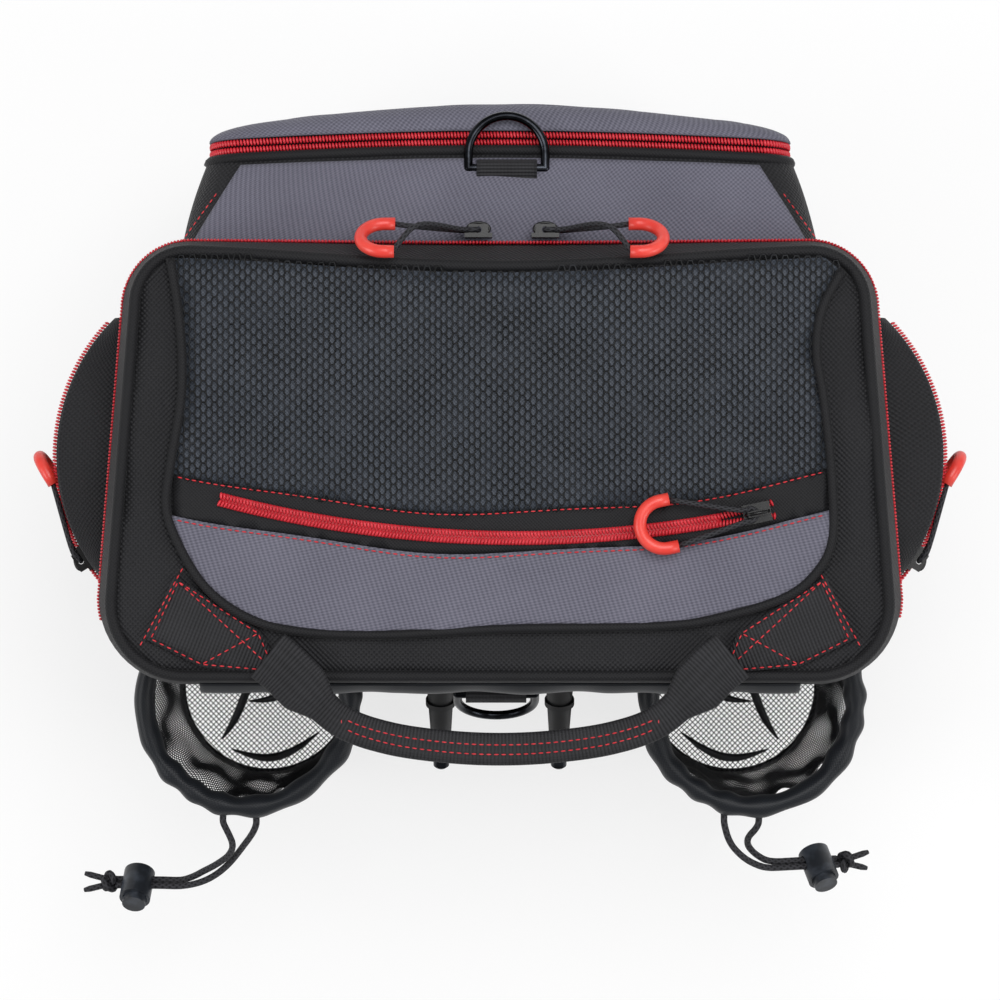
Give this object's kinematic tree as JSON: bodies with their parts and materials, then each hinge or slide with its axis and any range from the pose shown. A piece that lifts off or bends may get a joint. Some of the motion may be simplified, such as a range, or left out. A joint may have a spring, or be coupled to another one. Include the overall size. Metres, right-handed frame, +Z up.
{
  "type": "soft gear bag",
  "caption": "Soft-sided gear bag with a zipped lid and mesh lid pocket, zipped front and side pockets, netted bottle pockets, a carry handle and D-rings.",
  "frame": {"origin": "on the floor, at the middle of the bag's base", "axes": "+Z up, +Y towards the front pocket, +X to the right when the front pocket is ahead and the bag is seen from above"},
  "size_m": [0.4908, 0.4281, 0.2684],
  "materials": {
    "ballistic_nylon": "woven, matt",
    "grey_polyester": "woven, matt",
    "webbing": "ribbed webbing",
    "net": "knitted net",
    "red_coil": "moulded polyester coil",
    "red_tube": "soft moulded",
    "black_enamel": "gloss",
    "board": "matt foam board",
    "rubber": "moulded, semi-matt",
    "gunmetal": "dark plated",
    "cord": "braided",
    "lock_plastic": "moulded, semi-gloss"
  },
  "bodies": {
    "bag": {"rear_panel": "ballistic_nylon", "front_panel": "ballistic_nylon", "left_panel": "ballistic_nylon", "right_panel": "ballistic_nylon", "base_panel": "ballistic_nylon", "base_board": "board", "feet": "rubber", "main_zip_lower": "red_coil", "front_shoulder": "grey_polyester", "front_gusset": "ballistic_nylon", "front_zip_inner": "red_coil", "ring_tabs": "webbing", "left_pocket_shell": "ballistic_nylon", "left_zip_inner": "red_coil", "right_pocket_shell": "ballistic_nylon", "right_zip_inner": "red_coil", "pegs": "rubber", "peg_beads": "gunmetal", "left_bottle_net": "net", "right_bottle_net": "net", "bottle_hems": "ballistic_nylon", "left_cord_a": "cord", "left_cord_b": "cord", "right_cord_a": "cord", "right_cord_b": "cord", "cord_knots": "cord"},
    "lid": {"lid_panel": "ballistic_nylon", "lid_board": "board", "lid_piping": "ballistic_nylon", "lid_inner_piping": "ballistic_nylon", "lid_mesh": "net", "lid_pocket_panel": "grey_polyester", "lid_pocket_zip": "red_coil", "main_zip_upper": "red_coil", "handle_anchors": "webbing"},
    "handle": {"handle_grip": "webbing"},
    "main_left_slider": {"main_left_slider": "black_enamel"},
    "main_left_pull": {"main_left_pull": "red_tube"},
    "main_right_slider": {"main_right_slider": "black_enamel"},
    "main_right_pull": {"main_right_pull": "red_tube"},
    "lid_pocket_slider": {"lid_pocket_slider": "black_enamel"},
    "lid_pocket_pull": {"lid_pocket_pull": "red_tube"},
    "front_flap": {"front_flap": "grey_polyester", "front_zip_outer": "red_coil"},
    "front_slider": {"front_slider": "black_enamel"},
    "front_pull": {"front_pull": "red_tube"},
    "front_ring": {"front_ring": "black_enamel"},
    "rear_ring": {"rear_ring": "black_enamel"},
    "left_top": {"left_pocket_top": "ballistic_nylon", "left_zip_outer": "red_coil"},
    "left_slider": {"left_slider": "black_enamel"},
    "left_pull": {"left_pull": "red_tube"},
    "right_top": {"right_pocket_top": "ballistic_nylon", "right_zip_outer": "red_coil"},
    "right_slider": {"right_slider": "black_enamel"},
    "right_pull": {"right_pull": "red_tube"},
    "left_lock": {"left_lock_barrel": "lock_plastic"},
    "left_button": {"left_lock_button": "lock_plastic"},
    "right_lock": {"right_lock_barrel": "lock_plastic"},
    "right_button": {"right_lock_button": "lock_plastic"}
  },
  "joints": [
    {"name": "lid_fold", "type": "hinge", "parent": "bag", "child": "lid", "pos_m": [0, -0.114, 0.232], "axis": [1, 0, 0], "range_deg": [0, 90]},
    {"name": "handle_swing", "type": "hinge", "parent": "lid", "child": "handle", "pos_m": [0, -0.098, 0.2567], "axis": [-1, 0, 0], "range_deg": [0, 90]},
    {"name": "main_left_slide", "type": "slide", "parent": "lid", "child": "main_left_slider", "axis": [-1, 0, 0], "range_m": [0, 0.12]},
    {"name": "main_right_slide", "type": "slide", "parent": "lid", "child": "main_right_slider", "axis": [1, 0, 0], "range_m": [0, 0.11]},
    {"name": "main_left_pull_swing", "type": "hinge", "parent": "main_left_slider", "child": "main_left_pull", "pos_m": [-0.011, 0.1184, 0.232], "axis": [0, 0, -1], "range_deg": [0, 90]},
    {"name": "main_right_pull_swing", "type": "hinge", "parent": "main_right_slider", "child": "main_right_pull", "pos_m": [0.023, 0.1184, 0.232], "axis": [0, 0, 1], "range_deg": [0, 90]},
    {"name": "lid_pocket_slide", "type": "hinge", "parent": "lid", "child": "lid_pocket_slider", "pos_m": [0.0085, 0.543, 0.259], "axis": [0, 0, 1], "range_deg": [-24.5, 0]},
    {"name": "lid_pocket_pull_swing", "type": "hinge", "parent": "lid_pocket_slider", "child": "lid_pocket_pull", "pos_m": [0.12831, -0.02551, 0.2632], "axis": [-0.2062, 0.9785, 0], "range_deg": [0, 150]},
    {"name": "front_flap_fold", "type": "hinge", "parent": "bag", "child": "front_flap", "pos_m": [0, 0.163, 0.03], "axis": [-1, 0, 0], "range_deg": [0, 80]},
    {"name": "front_slide", "type": "slide", "parent": "bag", "child": "front_slider", "axis": [0, 0, 1], "range_m": [-0.05, 0.045]},
    {"name": "front_pull_swing", "type": "hinge", "parent": "front_slider", "child": "front_pull", "pos_m": [-0.1564, 0.163, 0.128], "axis": [0, 1, 0], "range_deg": [0, 150]},
    {"name": "front_ring_swing", "type": "hinge", "parent": "bag", "child": "front_ring", "pos_m": [0.0035, 0.1519, 0.2124], "axis": [1, 0, 0], "range_deg": [0, 140]},
    {"name": "rear_ring_swing", "type": "hinge", "parent": "bag", "child": "rear_ring", "pos_m": [-0.002, -0.11835, 0.22], "axis": [-1, 0, 0], "range_deg": [-20, 80]},
    {"name": "left_top_fold", "type": "hinge", "parent": "bag", "child": "left_top", "pos_m": [-0.19934, 0.004, 0.204], "axis": [0.0814, 0.9967, 0], "range_deg": [0, 60]},
    {"name": "left_slide", "type": "hinge", "parent": "left_top", "child": "left_slider", "pos_m": [-0.13093, 0.004, 0.192], "axis": [0, 0, -1], "range_deg": [0, 40]},
    {"name": "left_pull_swing", "type": "hinge", "parent": "left_slider", "child": "left_pull", "pos_m": [-0.21871, -0.05085, 0.192], "axis": [0, 0, 1], "range_deg": [0, 100]},
    {"name": "right_top_fold", "type": "hinge", "parent": "bag", "child": "right_top", "pos_m": [0.19934, 0.004, 0.204], "axis": [0.0814, -0.9967, 0], "range_deg": [0, 60]},
    {"name": "right_slide", "type": "hinge", "parent": "right_top", "child": "right_slider", "pos_m": [0.13093, 0.004, 0.192], "axis": [0, 0, 1], "range_deg": [0, 40]},
    {"name": "right_pull_swing", "type": "hinge", "parent": "right_slider", "child": "right_pull", "pos_m": [0.21871, -0.05085, 0.192], "axis": [0, 0, -1], "range_deg": [0, 100]},
    {"name": "left_lock_slide", "type": "slide", "parent": "bag", "child": "left_lock", "axis": [0.995, 0, 0.0995], "range_m": [0, 0.008]},
    {"name": "left_button_press", "type": "slide", "parent": "left_lock", "child": "left_button", "axis": [0.0702, 0.7089, -0.7018], "range_m": [0, 0.003], "stiffness_N_per_m": 300},
    {"name": "right_lock_slide", "type": "slide", "parent": "bag", "child": "right_lock", "axis": [-0.9292, 0, 0.3697], "range_m": [0, 0.008]},
    {"name": "right_button_press", "type": "slide", "parent": "right_lock", "child": "right_button", "axis": [-0.2515, 0.7329, -0.6322], "range_m": [0, 0.003], "stiffness_N_per_m": 300}
  ]
}
